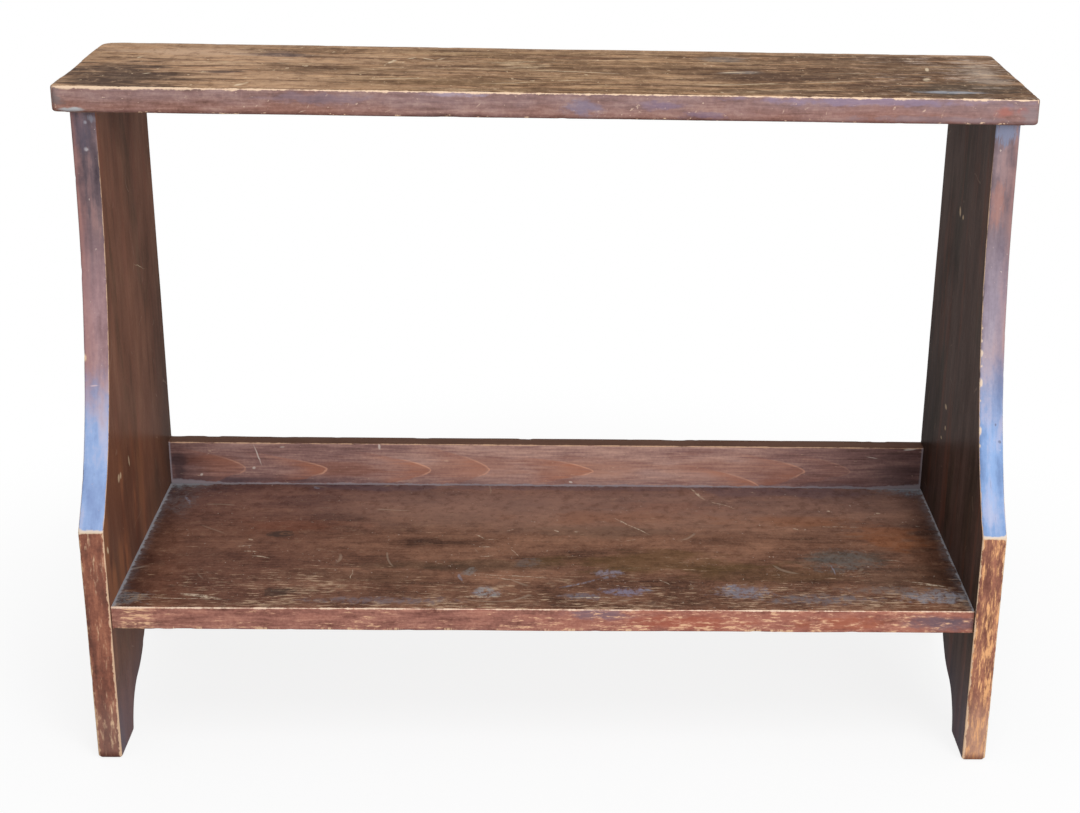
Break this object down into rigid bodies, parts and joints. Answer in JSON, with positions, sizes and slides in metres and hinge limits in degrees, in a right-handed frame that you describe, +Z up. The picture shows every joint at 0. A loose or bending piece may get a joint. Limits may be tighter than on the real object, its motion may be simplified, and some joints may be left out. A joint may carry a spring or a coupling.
{
  "type": "bucket bench",
  "caption": "Low wooden bench with a narrow top board on two shaped ends, a deep lower shelf for buckets and a low lip behind the shelf.",
  "frame": {"origin": "middle of the floor area that the feet stand on, on the floor", "axes": "+X to the viewer's right along the bench, +Y to the back (the lip's side), +Z up"},
  "size_m": [1.016, 0.3819, 0.712],
  "materials": {
    "worn_top_wood": "old dark stain worn through to grey-brown wood",
    "stained_end_wood": "old red-brown stain under worn varnish",
    "stained_shelf_wood": "old red-brown stain, scuffed",
    "stained_lip_wood": "old red-brown stain, open grain",
    "nail_iron": "dark oxidised iron"
  },
  "bodies": {
    "root": {"top_board": "worn_top_wood", "left_end": "stained_end_wood", "right_end": "stained_end_wood", "lower_shelf": "stained_shelf_wood", "back_lip": "stained_lip_wood", "left_top_nails": "nail_iron", "right_top_nails": "nail_iron", "left_shelf_nails": "nail_iron", "right_shelf_nails": "nail_iron", "left_lip_nails": "nail_iron", "right_lip_nails": "nail_iron", "back_lip_nails": "nail_iron"}
  },
  "joints": []
}
